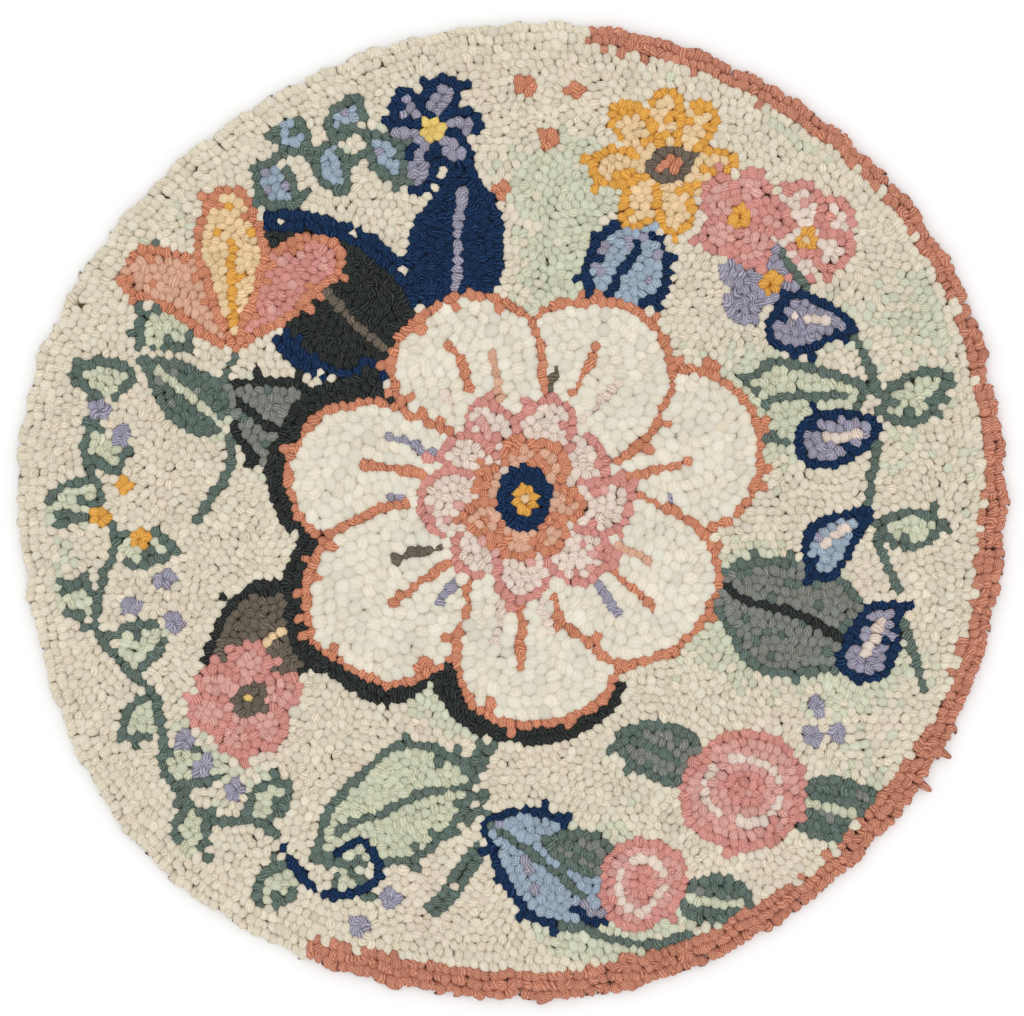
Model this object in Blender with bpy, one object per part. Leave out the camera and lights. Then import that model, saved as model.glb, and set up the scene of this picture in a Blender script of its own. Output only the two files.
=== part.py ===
"""Hooked rug: a round hand-hooked wool rug, lying flat on the floor with its pile up.

It has the two pieces that its maker handles: the woven foundation cloth, whose cut edge is folded
under to a round outline, and the pile of wool yarn loops pulled up through that cloth. The pile is one
lumpy slab with the uneven round outline of the real rug. Its outermost loops lean over the folded edge
of the cloth, so the slab's rim is scalloped and overhangs the foundation.

Units are metres and +Z is up. The origin is on the floor under the middle of the rug, and +Y points to
the top of the rug as it is seen from above.
"""

import math
from typing import NamedTuple

import bmesh
import bpy
import numpy as np
from mathutils import Vector, noise

MM = 0.001

# Thicknesses, from the floor up.
FOUNDATION_THICK = 2.0 * MM
SEAT_GAP = 0.3 * MM
PILE_HEIGHT = 8.7 * MM
PILE_BASE = FOUNDATION_THICK + SEAT_GAP

# How far the rug reaches from its middle, loops included, as (degrees, reach in millimetres): one row
# for every 15 degrees, running anticlockwise as seen from above from the right-hand side (+X).
REACH = (
    (0, 381.0),
    (15, 383.0),
    (30, 388.0),
    (45, 386.5),
    (60, 383.0),
    (75, 379.5),
    (90, 374.5),
    (105, 370.5),
    (120, 367.0),
    (135, 372.0),
    (150, 376.5),
    (165, 384.0),
    (180, 381.0),
    (195, 377.5),
    (210, 384.5),
    (225, 388.0),
    (240, 383.0),
    (255, 377.5),
    (270, 378.0),
    (285, 382.0),
    (300, 379.5),
    (315, 380.0),
    (330, 381.0),
    (345, 380.0),
)


class Stray(NamedTuple):
    """A loop that has slipped out past the rim."""

    degrees: float
    half_width_degrees: float
    past_rim_mm: float


STRAY_LOOPS = (
    Stray(330.7, 1.4, 7.0),
    Stray(326.3, 1.6, 7.5),
)

# The slab's top is a grid of cells, and each cell on its edge is one scallop of the rim.
CELLS_ACROSS = 48
SCALLOPS = 4 * CELLS_ACROSS
SCALLOP_DEPTH = 1.5 * MM

# The scallops' depth wanders by up to this share, in about this many spells to each radian of the rim.
UNEVEN_SCALLOPS = 0.6
UNEVEN_SPELLS = 9.0

# The lumps of the top, and the slice of the noise that they are read from.
LUMP_SIZE = 24 * MM
LUMP_HEIGHT = 1.2 * MM
NOISE_LAYER = 0.5


class RimRing(NamedTuple):
    """One ring of the rim: how far inside the outline it lies, its height as a share of the pile's,
    and its share of the scallops' depth."""

    inset_mm: float
    height_share: float
    scallop_share: float


# The rim from the flat top down to the foundation: shoulder, brow, chin and root.
RIM = (
    RimRing(3.0, 0.88, 0.6),
    RimRing(0.0, 0.56, 1.0),
    RimRing(2.0, 0.18, 0.8),
    RimRing(7.5, 0.0, 0.0),
)
CROWN_INSET = 8.0 * MM

# The foundation's folded edge lies this far inside the outline of the loops.
FOUNDATION_INSET = 7.0 * MM
FOUNDATION_POINTS = 96

WOOL_COLOUR = (0.56, 0.50, 0.40, 1.0)
LINEN_COLOUR = (0.42, 0.33, 0.21, 1.0)
WOOL_ROUGHNESS = 0.95
LINEN_ROUGHNESS = 0.9
SHARP_FROM = math.radians(50)


def clear_scene():
    for obj in list(bpy.data.objects):
        bpy.data.objects.remove(obj)


def new_collection(name):
    collection = bpy.data.collections.new(name)
    bpy.context.scene.collection.children.link(collection)
    return collection


def cloth_material(name, colour, roughness):
    """A matt material for cloth or yarn."""
    material = bpy.data.materials.new(name)
    material.use_nodes = True
    shader = material.node_tree.nodes["Principled BSDF"]
    shader.inputs["Base Color"].default_value = colour
    shader.inputs["Roughness"].default_value = roughness
    shader.inputs["Metallic"].default_value = 0.0
    return material


def reach(angle):
    """The rug's reach at an angle in radians: a smooth closed curve through REACH, as a cubic spline
    whose slope at each row is that of the line between the rows on either side of it."""
    rows = np.array([reach_mm for _, reach_mm in REACH]) * MM
    place = (angle / (2 * math.pi) * len(rows)) % len(rows)
    before = int(place)
    share = place - before
    p0, p1, p2, p3 = (rows[(before + step) % len(rows)] for step in (-1, 0, 1, 2))
    slope1 = (p2 - p0) / 2
    slope2 = (p3 - p1) / 2
    return (
        (2 * share**3 - 3 * share**2 + 1) * p1
        + (share**3 - 2 * share**2 + share) * slope1
        + (3 * share**2 - 2 * share**3) * p2
        + (share**3 - share**2) * slope2
    )


def scallop(angle):
    """How far the rim's loops stand out at an angle, from minus to plus the scallop's depth: a wave
    with one crest to a scallop, whose height wanders from one to the next."""
    wave = math.cos(SCALLOPS * angle)
    around = Vector((math.cos(angle), math.sin(angle), 0.0)) * UNEVEN_SPELLS
    wander = 1.0 + UNEVEN_SCALLOPS * noise.noise(around)
    return SCALLOP_DEPTH * (wave * wander - 1.0)


def stray(angle):
    """The extra reach of the loops that have slipped out: a rounded bump at each one's direction."""
    extra = 0.0
    for loop in STRAY_LOOPS:
        off = (math.degrees(angle) - loop.degrees + 180.0) % 360.0 - 180.0
        share = off / loop.half_width_degrees
        if abs(share) < 1.0:
            extra = max(extra, loop.past_rim_mm * MM * math.cos(share * math.pi / 2))
    return extra


def lump(x, y):
    """The unevenness of the pile's top: smooth noise, with lumps a few loops across."""
    return LUMP_HEIGHT * noise.noise(Vector((x / LUMP_SIZE, y / LUMP_SIZE, NOISE_LAYER)))


def square_to_disc(x, y):
    """(share of the reach, angle) of a point of the square from -1 to 1: each square ring becomes a
    round one, with its points spaced evenly round it."""
    share = max(abs(x), abs(y))
    if share == 0.0:
        return 0.0, 0.0
    if abs(x) >= abs(y):
        angle = (math.pi / 4) * (y / x) + (0.0 if x > 0 else math.pi)
    else:
        angle = math.pi / 2 - (math.pi / 4) * (x / y) + (0.0 if y > 0 else math.pi)
    return share, angle % (2 * math.pi)


def rim_edges(mesh):
    return [edge for edge in mesh.edges if edge.is_boundary]


def add_rim_ring(mesh, inset, height, scallop_share):
    """Extends the slab's open edge by one ring of the rim."""
    made = bmesh.ops.extrude_edge_only(mesh, edges=rim_edges(mesh))
    for point in [item for item in made["geom"] if isinstance(item, bmesh.types.BMVert)]:
        angle = math.atan2(point.co.y, point.co.x)
        radius = reach(angle) - inset + scallop_share * (scallop(angle) + stray(angle))
        point.co = Vector((math.cos(angle) * radius, math.sin(angle) * radius, height))


def pile_mesh():
    """The lumpy slab: a square grid bent to the round outline, whose edge is carried down and in as
    the scalloped rim and closed by a flat underside."""
    mesh = bmesh.new()
    bmesh.ops.create_grid(mesh, x_segments=CELLS_ACROSS, y_segments=CELLS_ACROSS, size=1.0)
    bmesh.ops.subdivide_edges(mesh, edges=rim_edges(mesh), cuts=1)
    for point in mesh.verts:
        share, angle = square_to_disc(point.co.x, point.co.y)
        radius = share * (reach(angle) - CROWN_INSET)
        x = math.cos(angle) * radius
        y = math.sin(angle) * radius
        point.co = Vector((x, y, PILE_BASE + PILE_HEIGHT + lump(x, y)))
    for ring in RIM:
        height = PILE_BASE + ring.height_share * PILE_HEIGHT
        add_rim_ring(mesh, ring.inset_mm * MM, height, ring.scallop_share)
    bmesh.ops.holes_fill(mesh, edges=rim_edges(mesh))
    bmesh.ops.triangulate(mesh, faces=mesh.faces)
    bmesh.ops.recalc_face_normals(mesh, faces=mesh.faces)
    return mesh


def build_pile(collection, material, name="loop_pile"):
    mesh = pile_mesh()
    data = bpy.data.meshes.new(name)
    mesh.to_mesh(data)
    mesh.free()
    data.materials.append(material)
    data.shade_smooth()
    data.set_sharp_from_angle(angle=SHARP_FROM)
    pile = bpy.data.objects.new(name, data)
    collection.objects.link(pile)
    return pile


def build_foundation(collection, material, name="foundation_cloth"):
    """The woven cloth: a flat closed outline, filled and given its thickness."""
    curve = bpy.data.curves.new(name, "CURVE")
    curve.dimensions = "2D"
    curve.fill_mode = "BOTH"
    curve.extrude = FOUNDATION_THICK / 2
    outline = curve.splines.new("POLY")
    outline.points.add(FOUNDATION_POINTS - 1)
    for number, point in enumerate(outline.points):
        angle = 2 * math.pi * number / FOUNDATION_POINTS
        radius = reach(angle) - FOUNDATION_INSET
        point.co = (math.cos(angle) * radius, math.sin(angle) * radius, 0.0, 1.0)
    outline.use_cyclic_u = True
    curve.materials.append(material)
    foundation = bpy.data.objects.new(name, curve)
    foundation.location.z = FOUNDATION_THICK / 2
    collection.objects.link(foundation)
    return foundation


def middle_of(obj):
    """The middle of an object's box, seen from above."""
    bpy.context.view_layer.update()
    corners = np.array([obj.matrix_world @ Vector(corner) for corner in obj.bound_box])
    return (corners.min(axis=0) + corners.max(axis=0)) / 2


def centre_on_origin(pieces, leader):
    """Slides the pieces together so that the leader's box is centred over the origin."""
    middle = middle_of(leader)
    for piece in pieces:
        piece.location.x -= middle[0]
        piece.location.y -= middle[1]


def main():
    clear_scene()
    rug = new_collection("hooked_rug")
    wool = cloth_material("wool_loops", WOOL_COLOUR, WOOL_ROUGHNESS)
    linen = cloth_material("foundation_linen", LINEN_COLOUR, LINEN_ROUGHNESS)
    pile = build_pile(rug, wool)
    foundation = build_foundation(rug, linen)
    centre_on_origin((pile, foundation), leader=pile)


main()
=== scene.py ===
"""Hooked rug: the looks of a round hand-hooked wool rug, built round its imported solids.

Two pieces of the rug are made here: the woven foundation cloth with its folded hem, and the pile,
which is several thousand separate loops of wool yarn. The loops are laid out flat first, in
millimetres, as a maker would hook them: the lines of the drawing, then the rows along the rim, then
the ground and the insides of the shapes. Then each one is modelled as a closed ring of yarn that
stands up through the cloth and crosses under it as a stitch. The height of the pile and the rug's
outline come from the solids.

The drawing is a generic one of flowers and leaves.
"""

import math
from typing import NamedTuple

import bpy
import numpy as np
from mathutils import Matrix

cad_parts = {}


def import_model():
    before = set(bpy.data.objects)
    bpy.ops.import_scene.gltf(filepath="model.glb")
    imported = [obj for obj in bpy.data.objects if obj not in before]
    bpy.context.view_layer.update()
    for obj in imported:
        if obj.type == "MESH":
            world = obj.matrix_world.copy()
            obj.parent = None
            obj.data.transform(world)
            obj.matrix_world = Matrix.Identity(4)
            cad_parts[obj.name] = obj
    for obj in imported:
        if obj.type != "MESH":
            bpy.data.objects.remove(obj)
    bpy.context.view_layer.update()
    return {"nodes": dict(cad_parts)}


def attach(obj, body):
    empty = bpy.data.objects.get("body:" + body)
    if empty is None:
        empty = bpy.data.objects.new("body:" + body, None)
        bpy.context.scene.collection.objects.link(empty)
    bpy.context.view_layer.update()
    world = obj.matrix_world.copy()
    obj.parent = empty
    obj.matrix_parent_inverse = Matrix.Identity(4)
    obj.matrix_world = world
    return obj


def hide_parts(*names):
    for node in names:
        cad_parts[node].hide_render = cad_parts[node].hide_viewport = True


MM = 0.001
SEED = 7
FULL_TURN = 2 * math.pi

# Loops stand in rows this far apart, and are this far apart along a row, in millimetres. A loop's
# strands run across its row, so a loop is longer along its strands than across them.
ROW = 8.0
ALONG_ROW = 6.6
STRETCH = math.sqrt(ROW / ALONG_ROW)
STRANDS_TURNED = math.radians(112)

# Where the loops of two lines are closer than CROWDED, the later line's stay. A line's loops keep clear
# of shapes laid later, and each is moved by up to HAND_SLIP.
CROWDED = 4.9
CLEAR_OF_LATER = 5.6
HAND_SLIP = 1.0

# Free loops start on a grid, each moved by up to START_SLIP, in a square field round the rug's middle.
# They are spread out and thinned by turns: each thinning drops loops whose gap to a neighbour is less
# than a share of the sum of their radii. Loops press on each other out to FIRMNESS times their radii,
# and that many more than would just fit are set at the start.
GRID = 7.7
START_SLIP = 2.6
HALF_FIELD = 400.0
THINNINGS = (0.66, 0.72, 0.77, 0.80)
FIRMNESS = 1.06


class RimRow(NamedTuple):
    """A row of loops that follows the rim: how far it lies inside the outline, how far apart its loops
    are, how far they lean outwards and how much lower they stand, in millimetres."""

    inset: float
    step: float
    lean: float
    drop: float


RIM_ROWS = (
    RimRow(3.6, 6.5, 4.4, 1.2),
    RimRow(11.6, 6.4, 2.4, 0.3),
    RimRow(19.6, 6.4, 1.0, 0.0),
)
RIM_WIDTH = 3.2 * ROW
CLEAR_OF_RIM = RIM_WIDTH + 1.5
FREE_INSET = 3.0 * ROW

# How the rim's rows waver: (size in millimetres, waves round the rug, start in radians).
RIM_WAVERS = ((0.9, 61, 0.0), (1.0, 38, 1.0))

# The plain border runs clockwise from just right of the top to the lower left. Its width is given as
# (degrees, width in millimetres), with the right-hand side (+X) at zero.
BORDER = (
    ((-115, 20.0), (-110, 22.0), (-95, 25.0), (-88, 21.5), (-75, 25.0), (-60, 24.0))
    + ((-50, 19.0), (-42, 22.0), (-30, 22.0), (-20, 17.5), (-12, 21.0))
    + ((0, 21.5), (10, 14.0), (45, 13.0), (60, 18.5), (81, 19.0))
)
UNEVEN_BORDER = 1.5


class Stray(NamedTuple):
    """A loop that has slipped out past the rim."""

    degrees: float
    reach_past_rim: float
    yarn: str


STRAYS = (
    Stray(330.7, 7.0, "coral"),
    Stray(326.3, 7.5, "coral"),
)


class Yarn(NamedTuple):
    """A wool yarn. Colours are sRGB, 0 to 255: of a loop in full light, and of the odd fibres carded into
    it, which is also the colour of the painted highlight on the strands' ridges. Bulk is the radius of the
    spot that a loop takes up and strand is the width of one of its strands, in millimetres. Crease shade is
    how much darker the painted shade in the lines between the strands is, and fullness how much wider a loop
    is than its spot, so that it presses on the next."""

    colour: tuple
    heather_and_highlight: tuple
    heathering_and_highlight: float = 0.35
    bulk: float = 3.8
    strand: float = 2.8
    crease_shade: float = 0.22
    fullness: float = 1.08


YARNS = {
    "cream": Yarn((218, 208, 186), (236, 227, 209), 0.38, crease_shade=0.15),
    "sage_cream": Yarn((201, 202, 178), (224, 224, 203), 0.38, crease_shade=0.15),
    "blush_cream": Yarn((219, 206, 186), (236, 225, 208), 0.38, crease_shade=0.15),
    "ivory": Yarn((220, 213, 195), (234, 228, 215), 0.25, 5.2, 4.2, 0.05, 1.24),
    "coral": Yarn((178, 107, 83), (228, 172, 147), 0.5, strand=2.5, crease_shade=0.26),
    "salmon": Yarn((190, 113, 83), (234, 174, 142), 0.48, strand=2.5, crease_shade=0.26),
    "peach": Yarn((212, 161, 134), (234, 196, 170), 0.45, strand=2.4),
    "rose": Yarn((202, 132, 122), (228, 174, 164), 0.45, strand=2.4),
    "pink": Yarn((210, 152, 142), (232, 190, 180), 0.45, strand=2.4),
    "pale_pink": Yarn((224, 206, 192), (238, 222, 210)),
    "navy": Yarn((2, 22, 54), (50, 82, 122), 0.42),
    "charcoal": Yarn((19, 24, 24), (82, 86, 82), 0.42),
    "umber": Yarn((90, 80, 70), (138, 128, 114), 0.5),
    "forest": Yarn((72, 88, 80), (134, 148, 139), 0.5, strand=2.2),
    "grey_green": Yarn((108, 111, 104), (156, 158, 151), 0.6, strand=2.2),
    "sage": Yarn((196, 198, 171), (222, 223, 200), 0.45),
    "lavender": Yarn((128, 124, 142), (182, 178, 194), 0.7, 4.1, 2.6, 0.28),
    "blue_grey": Yarn((138, 155, 172), (186, 200, 212), 0.55, strand=2.3),
    "gold": Yarn((218, 154, 62), (238, 190, 108), 0.4, 3.65),
    "straw": Yarn((230, 199, 154), (240, 216, 178), 0.35, 3.65),
    "yellow": Yarn((226, 192, 104), (240, 216, 146), 0.4, 3.65),
}
YARN_NAMES = tuple(YARNS)

# The yarn that takes the place of another in some of the loops of a fill.
KIN = {
    "peach": "salmon",
    "rose": "pink",
    "pink": "rose",
    "pale_pink": "pink",
    "forest": "grey_green",
    "grey_green": "forest",
    "sage": "sage_cream",
    "blue_grey": "lavender",
    "gold": "straw",
    "straw": "gold",
}
KIN_CHANCE = 0.1
STEPPED_OUT_CHANCE = 0.11

# Drifts of other creams on the ground: the yarn, the drift's size in millimetres, its seed, how much
# more of it there is to the right, how far single loops stray from it and the level it shows from.
DRIFTS = (
    ("sage_cream", 150, 21, 0.5, 0.22, 0.55),
    ("blush_cream", 120, 33, 0.0, 0.25, 0.8),
)
MOST_LOOPS_A_PIECE = 2000


def whole_turn(steps):
    """Angles in radians, evenly spaced round a circle."""
    return np.linspace(0, FULL_TURN, steps, endpoint=False)


def polar(radius, turn):
    """Points at a radius and an angle from the middle."""
    return np.stack([radius * np.cos(turn), radius * np.sin(turn)], axis=-1)


def raised(points, height):
    """Flat points carried to a height."""
    return np.concatenate([points, np.broadcast_to(height, points.shape[:-1])[..., None]], axis=-1)


# Shapes of the drawing, in millimetres from the rug's middle, with +Y to the top.

SPOT_RADIUS = 4.8


class Patch(NamedTuple):
    """A closed shape filled with one yarn, with its outline drawn in rows of another."""

    path: np.ndarray
    fill: str
    drawn: str
    rows: int = 1
    closed = True


class Line(NamedTuple):
    """An open line drawn in one or two rows of a yarn."""

    path: np.ndarray
    drawn: str
    rows: int = 1
    closed = False


def placed(x, y, spot, heading, bend=0.0, length=1.0):
    """Points turned to a heading in degrees and moved to a spot. Bend swings them sideways by the
    square of their distance along, so that a leaf or petal curves."""
    y = y + bend * length * (x / length) ** 2
    turn = math.radians(heading)
    across = spot[0] + x * math.cos(turn) - y * math.sin(turn)
    up = spot[1] + x * math.sin(turn) + y * math.cos(turn)
    return np.stack([across, up], axis=1)


def round_petal(spot, heading, length, width, bend=0.0):
    """A petal that is narrow where it starts and broad near its end: half a cosine along, and across
    it a sine that grows with the distance from the start."""
    turn = whole_turn(56)
    x = length * (1 - np.cos(turn)) / 2
    y = width / 2 * np.sin(turn) * (0.28 + 0.92 * np.sin(turn / 2) ** 1.6)
    return placed(x, y, spot, heading, bend, length)


def pointed_leaf(spot, heading, length, width, bend=0.0):
    """A leaf with two sharp ends: half a cosine along, and a squared sine across."""
    turn = whole_turn(64)
    x = length * (1 - np.cos(turn)) / 2
    y = width / 2 * np.sign(np.sin(turn)) * np.sin(turn) ** 2 * (1.12 + 0.25 * np.cos(turn))
    return placed(x, y, spot, heading, bend, length)


def disc(spot, radius, squash=1.0, heading=0.0):
    turn = whole_turn(40)
    return placed(radius * np.cos(turn), radius * squash * np.sin(turn), spot, heading)


def ray(spot, heading, start, end, bend=0.0):
    """A short straight or bent line that points away from a spot."""
    x = np.linspace(start, end, 8)
    return placed(x, np.zeros_like(x), spot, heading, bend, end)


def arc(spot, width, height, first, last, heading=0.0):
    turn = np.linspace(first, last, 30)
    return placed(width * np.cos(turn), height * np.sin(turn), spot, heading)


def curve(*knots, steps=20):
    """A smooth open line through given points: a Catmull-Rom spline, in which each stretch is
    a cubic whose slopes at its ends are those of the chords between the points on either side."""
    points = np.array(knots, float)
    points = np.vstack([2 * points[0] - points[1], points, 2 * points[-1] - points[-2]])
    share = np.linspace(0, 1, steps, endpoint=False)[:, None]
    stretches = []
    for a, b, c, d in zip(points, points[1:], points[2:], points[3:]):
        squared = 2 * a - 5 * b + 4 * c - d
        cubed = 3 * b - a - 3 * c + d
        stretches.append(0.5 * (2 * b + (c - a) * share + squared * share**2 + cubed * share**3))
    return np.vstack([*stretches, points[-2:-1]])


def spaced(line, step, closed):
    """Points evenly spaced along a line, and the line's heading in radians at each."""
    path = np.vstack([line, line[:1]]) if closed else line
    lengths = np.hypot(*np.diff(path, axis=0).T)
    travelled = np.concatenate([[0], np.cumsum(lengths)])
    count = max(2, round(travelled[-1] / step) + (not closed))
    at = np.linspace(0, travelled[-1], count, endpoint=not closed)

    def point(distance):
        return np.stack([np.interp(distance, travelled, path[:, axis]) for axis in (0, 1)], axis=1)

    step_along = point(np.minimum(at + 0.5, travelled[-1])) - point(np.maximum(at - 0.5, 0))
    return point(at), np.arctan2(step_along[:, 1], step_along[:, 0])


def veined_leaf(spot, heading, length, width, fill, edge, vein, bend=0.0, rows=1):
    leaf = Patch(pointed_leaf(spot, heading, length, width, bend), fill, edge, rows)
    return [leaf, Line(ray(spot, heading, 0.06 * length, 0.8 * length, 0.8 * bend), vein)]


def blossom(spot, petals, length, width, fill, edge, turn, seed, uneven=0.1):
    """Petals round a spot, each turned a little and a little longer or shorter than the next."""
    draws = np.random.default_rng(seed)
    made = []
    for number in range(petals):
        heading = turn + 360.0 * number / petals + draws.uniform(-7, 7)
        longer, wider = 1 + draws.uniform(-uneven, uneven, 2)
        made.append(Patch(round_petal(spot, heading, length * longer, width * wider), fill, edge))
    return made


def sprig(stem, leaves, length, width, fill, edge, spread=60.0):
    """A stem with leaves on alternate sides."""
    points, headings = spaced(stem, 2.0, closed=False)
    made = []
    for number in range(leaves):
        at = int((0.03 + 0.93 * number / (leaves - 1)) * (len(points) - 1))
        side = 1 if number % 2 else -1
        heading = math.degrees(headings[at]) + side * spread
        made.append(Patch(pointed_leaf(points[at], heading, length, width, 0.12 * side), fill, edge))
    return [*made, Line(stem, edge)]


def spots_of(yarn, *spots):
    return [Patch(disc(spot, SPOT_RADIUS), yarn, yarn) for spot in spots]


def vine_beside_rim(rim, first, last, inset, swing, waves):
    """A wavy line at a distance inside the rim, between two directions in degrees."""
    turn = np.radians(np.linspace(first, last, 160))
    radius = rim(turn) - inset + swing * np.sin(np.linspace(0, waves * FULL_TURN, 160))
    return polar(radius, turn)


def big_flower(spot):
    """The ivory flower: seven broad petals with strokes of other yarns, a frill, and a dark heart."""
    petals = 7
    first = 12.0
    stroke_yarns = ("lavender", "pale_pink", "peach", "lavender", "umber", "pale_pink", "lavender")
    # Dark petals, a little longer and wider, show as a second row round three of them.
    made = blossom(spot, petals, 191, 160, "charcoal", "charcoal", first - 2, 5, 0.08)[3:6]
    for number, petal in enumerate(blossom(spot, petals, 178, 140, "ivory", "salmon", first, 5, 0.08)):
        heading = first + 360.0 * number / petals
        made += [
            petal,
            Line(ray(spot, heading - 9, 66, 112, -0.05), stroke_yarns[number]),
            Line(ray(spot, heading, 66, 128, 0.02), "salmon"),
            Line(ray(spot, heading + 9, 66, 104, 0.06), stroke_yarns[(number + 3) % petals]),
        ]
    made += blossom(spot, 9, 74, 46, "pale_pink", "rose", 30, 9, 0.12)
    made += blossom(spot, 7, 44, 28, "peach", "salmon", 50, 4)
    return [*made, Patch(disc(spot, 22), "navy", "navy"), Patch(disc(spot, 9), "gold", "gold")]


def tulip(spot):
    return [
        Patch(round_petal(spot, 126, 104, 54, 0.25), "peach", "salmon"),
        Patch(round_petal(spot, 60, 104, 54, -0.25), "rose", "salmon"),
        Patch(round_petal(spot, 93, 118, 56), "straw", "salmon"),
        Line(ray(spot, 93, 16, 74), "gold"),
    ]


def bellflower(spot, heading, fill):
    return [
        Patch(round_petal(spot, heading, 66, 46, 0.1), fill, "navy"),
        Line(ray(spot, heading, 20, 46), "pale_pink"),
    ]


def rose(spot, size):
    x, y = spot
    right = (x + 0.7 * size, y - 6)
    left = (x - 0.6 * size, y + 10)
    return [
        *veined_leaf(right, -18, 1.9 * size, 0.9 * size, "forest", "forest", "sage", 0.15),
        *veined_leaf(left, 150, 1.7 * size, 0.8 * size, "grey_green", "forest", "forest", 0.1),
        Patch(disc(spot, size, 0.92, 20), "pink", "rose"),
        *(Line(arc(spot, 0.6 * size, 0.54 * size, at, at + 1.5, 10), "pale_pink") for at in (0.2, 2.3, 4.4)),
        Patch(disc((x + 2, y + 1), 0.26 * size), "rose", "rose"),
    ]


def drawing(rim):
    """Every shape, in the order in which it is laid: a later one covers an earlier one."""
    art = sprig(vine_beside_rim(rim, 142, 250, 62, 13, 4.5), 14, 44, 24, "sage", "forest")
    # Long leaves behind the big flower, and then the stem below it with its own two leaves.
    for leaf in (
        ((-80, 100), 128, 170, 84, "charcoal", "navy", "umber", 0.1, 2),
        ((-40, 140), 97, 128, 62, "navy", "navy", "lavender", -0.15),
        ((-125, 40), 158, 118, 58, "grey_green", "charcoal", "charcoal", -0.1),
        ((150, -50), -30, 158, 74, "grey_green", "forest", "charcoal", 0.16),
        ((166, 74), 16, 106, 56, "sage", "forest", "forest", -0.12),
        ((-130, -66), 205, 130, 64, "umber", "charcoal", "straw", 0.1),
        ((70, 150), 62, 96, 50, "blue_grey", "navy", "navy", 0.1),
    ):
        art += veined_leaf(*leaf)
    art.append(Line(curve((6, -150), (-26, -200), (-20, -250), (-58, -308)), "forest", 2))
    art += veined_leaf((-26, -205), 194, 140, 70, "sage", "forest", "forest", 0.18)
    art += veined_leaf((-20, -238), -32, 118, 60, "blue_grey", "navy", "forest", -0.16)
    art += big_flower((10, 10))
    # The tulip at the upper left.
    art.append(Line(curve((-212, 128), (-226, 80), (-216, 40), (-244, -6)), "forest"))
    art += veined_leaf((-222, 62), 128, 84, 34, "forest", "forest", "sage", 0.2)
    art += tulip((-212, 128))
    # Small flowers with their eyes: two along the top, a cluster at the upper right and one at the left.
    for *flower, radius, fill, edge in (
        ((120, 268), 8, 58, 28, "straw", "gold", 5, 3, 13, "salmon", "umber"),
        ((-62, 292), 6, 40, 26, "lavender", "navy", 14, 6, 7, "yellow", "yellow"),
        ((196, 176), 5, 36, 30, "lavender", "lavender", 10, 2, 6, "gold", "gold"),
        ((228, 214), 5, 36, 30, "pale_pink", "rose", 40, 2, 6, "gold", "gold"),
        ((176, 226), 5, 36, 30, "pink", "rose", 70, 2, 6, "gold", "gold"),
        ((-206, -148), 6, 42, 30, "pink", "rose", 20, 8, 9, "yellow", "umber"),
    ):
        art += [*blossom(*flower), Patch(disc(flower[0], radius), fill, edge)]
    # A sprig at the upper left.
    stem = curve((-196, 262), (-160, 276), (-128, 284), (-104, 288))
    art += sprig(stem, 5, 38, 22, "blue_grey", "forest", 56)
    # Bellflowers and two leaves on a stem at the right.
    art.append(Line(curve((318, -140), (300, -70), (276, 0), (286, 80), (250, 150), (206, 196)), "forest"))
    art += bellflower((286, 64), 186, "lavender")
    art += bellflower((276, 0), 216, "blue_grey")
    art += bellflower((262, 140), 168, "lavender")
    art += bellflower((300, -70), 228, "lavender")
    art.append(Patch(pointed_leaf((286, 76), 22, 54, 26, 0.1), "sage", "forest"))
    art.append(Patch(pointed_leaf((280, -10), -8, 54, 26, 0.1), "sage", "forest"))
    # Two roses at the lower right.
    art += rose((178, -214), 46)
    art += rose((100, -286), 34)
    # Tendrils and loose spots.
    art.append(Line(curve((-176, -262), (-140, -296), (-104, -282), (-112, -254), (-134, -262)), "navy"))
    art.append(Line(curve((40, -316), (76, -330), (120, -334), (160, -318)), "forest"))
    art += spots_of("salmon", (28, 286), (10, 330), (52, 324), (-6, 250))
    art += spots_of("lavender", (-236, -196), (-212, -214), (-250, -176), (-300, 60), (-316, 78))
    art += spots_of("lavender", (-292, -74), (-262, -88), (-270, -52), (-120, -320), (-92, -300))
    art += spots_of("lavender", (236, -150), (252, -168), (228, -172))
    art += spots_of("gold", (-318, -6), (-300, 20), (-286, -20))
    return art


# Measures of the drawing.


def soft_noise(points, size, seed):
    """A smooth field from about -1 to 1: the sum of seven sine waves in directions drawn at random,
    with lengths round the given size."""
    draws = np.random.default_rng(seed)
    waves = 7
    total = np.zeros(len(points))
    for _ in range(waves):
        heading, phase = draws.uniform(0, FULL_TURN, 2)
        along = points[:, 0] * math.cos(heading) + points[:, 1] * math.sin(heading)
        total += np.sin(FULL_TURN / (size * draws.uniform(0.7, 1.6)) * along + phase)
    usual_peak = 0.46 * waves
    return total / usual_peak


def hand_drawn(points, seed=3, size=3.0):
    """The points moved a few millimetres by soft noise, so that no line is drafted."""
    shift = [size * soft_noise(points, 60, seed + axis * 50) for axis in (0, 1)]
    return points + np.stack(shift, axis=1)


def is_inside(points, outline):
    """Which points lie inside a closed outline: those whose ray to the right crosses its edges an
    odd number of times."""
    x, y = points[:, :1], points[:, 1:]
    start, end = outline, np.roll(outline, -1, axis=0)
    spans = (start[:, 1] > y) != (end[:, 1] > y)
    rise = end[:, 1] - start[:, 1]
    slope = (end[:, 0] - start[:, 0]) / np.where(rise == 0, 1e-9, rise)
    crossing = start[:, 0] + (y - start[:, 1]) * slope
    return (spans & (x < crossing)).sum(axis=1) % 2 == 1


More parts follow.
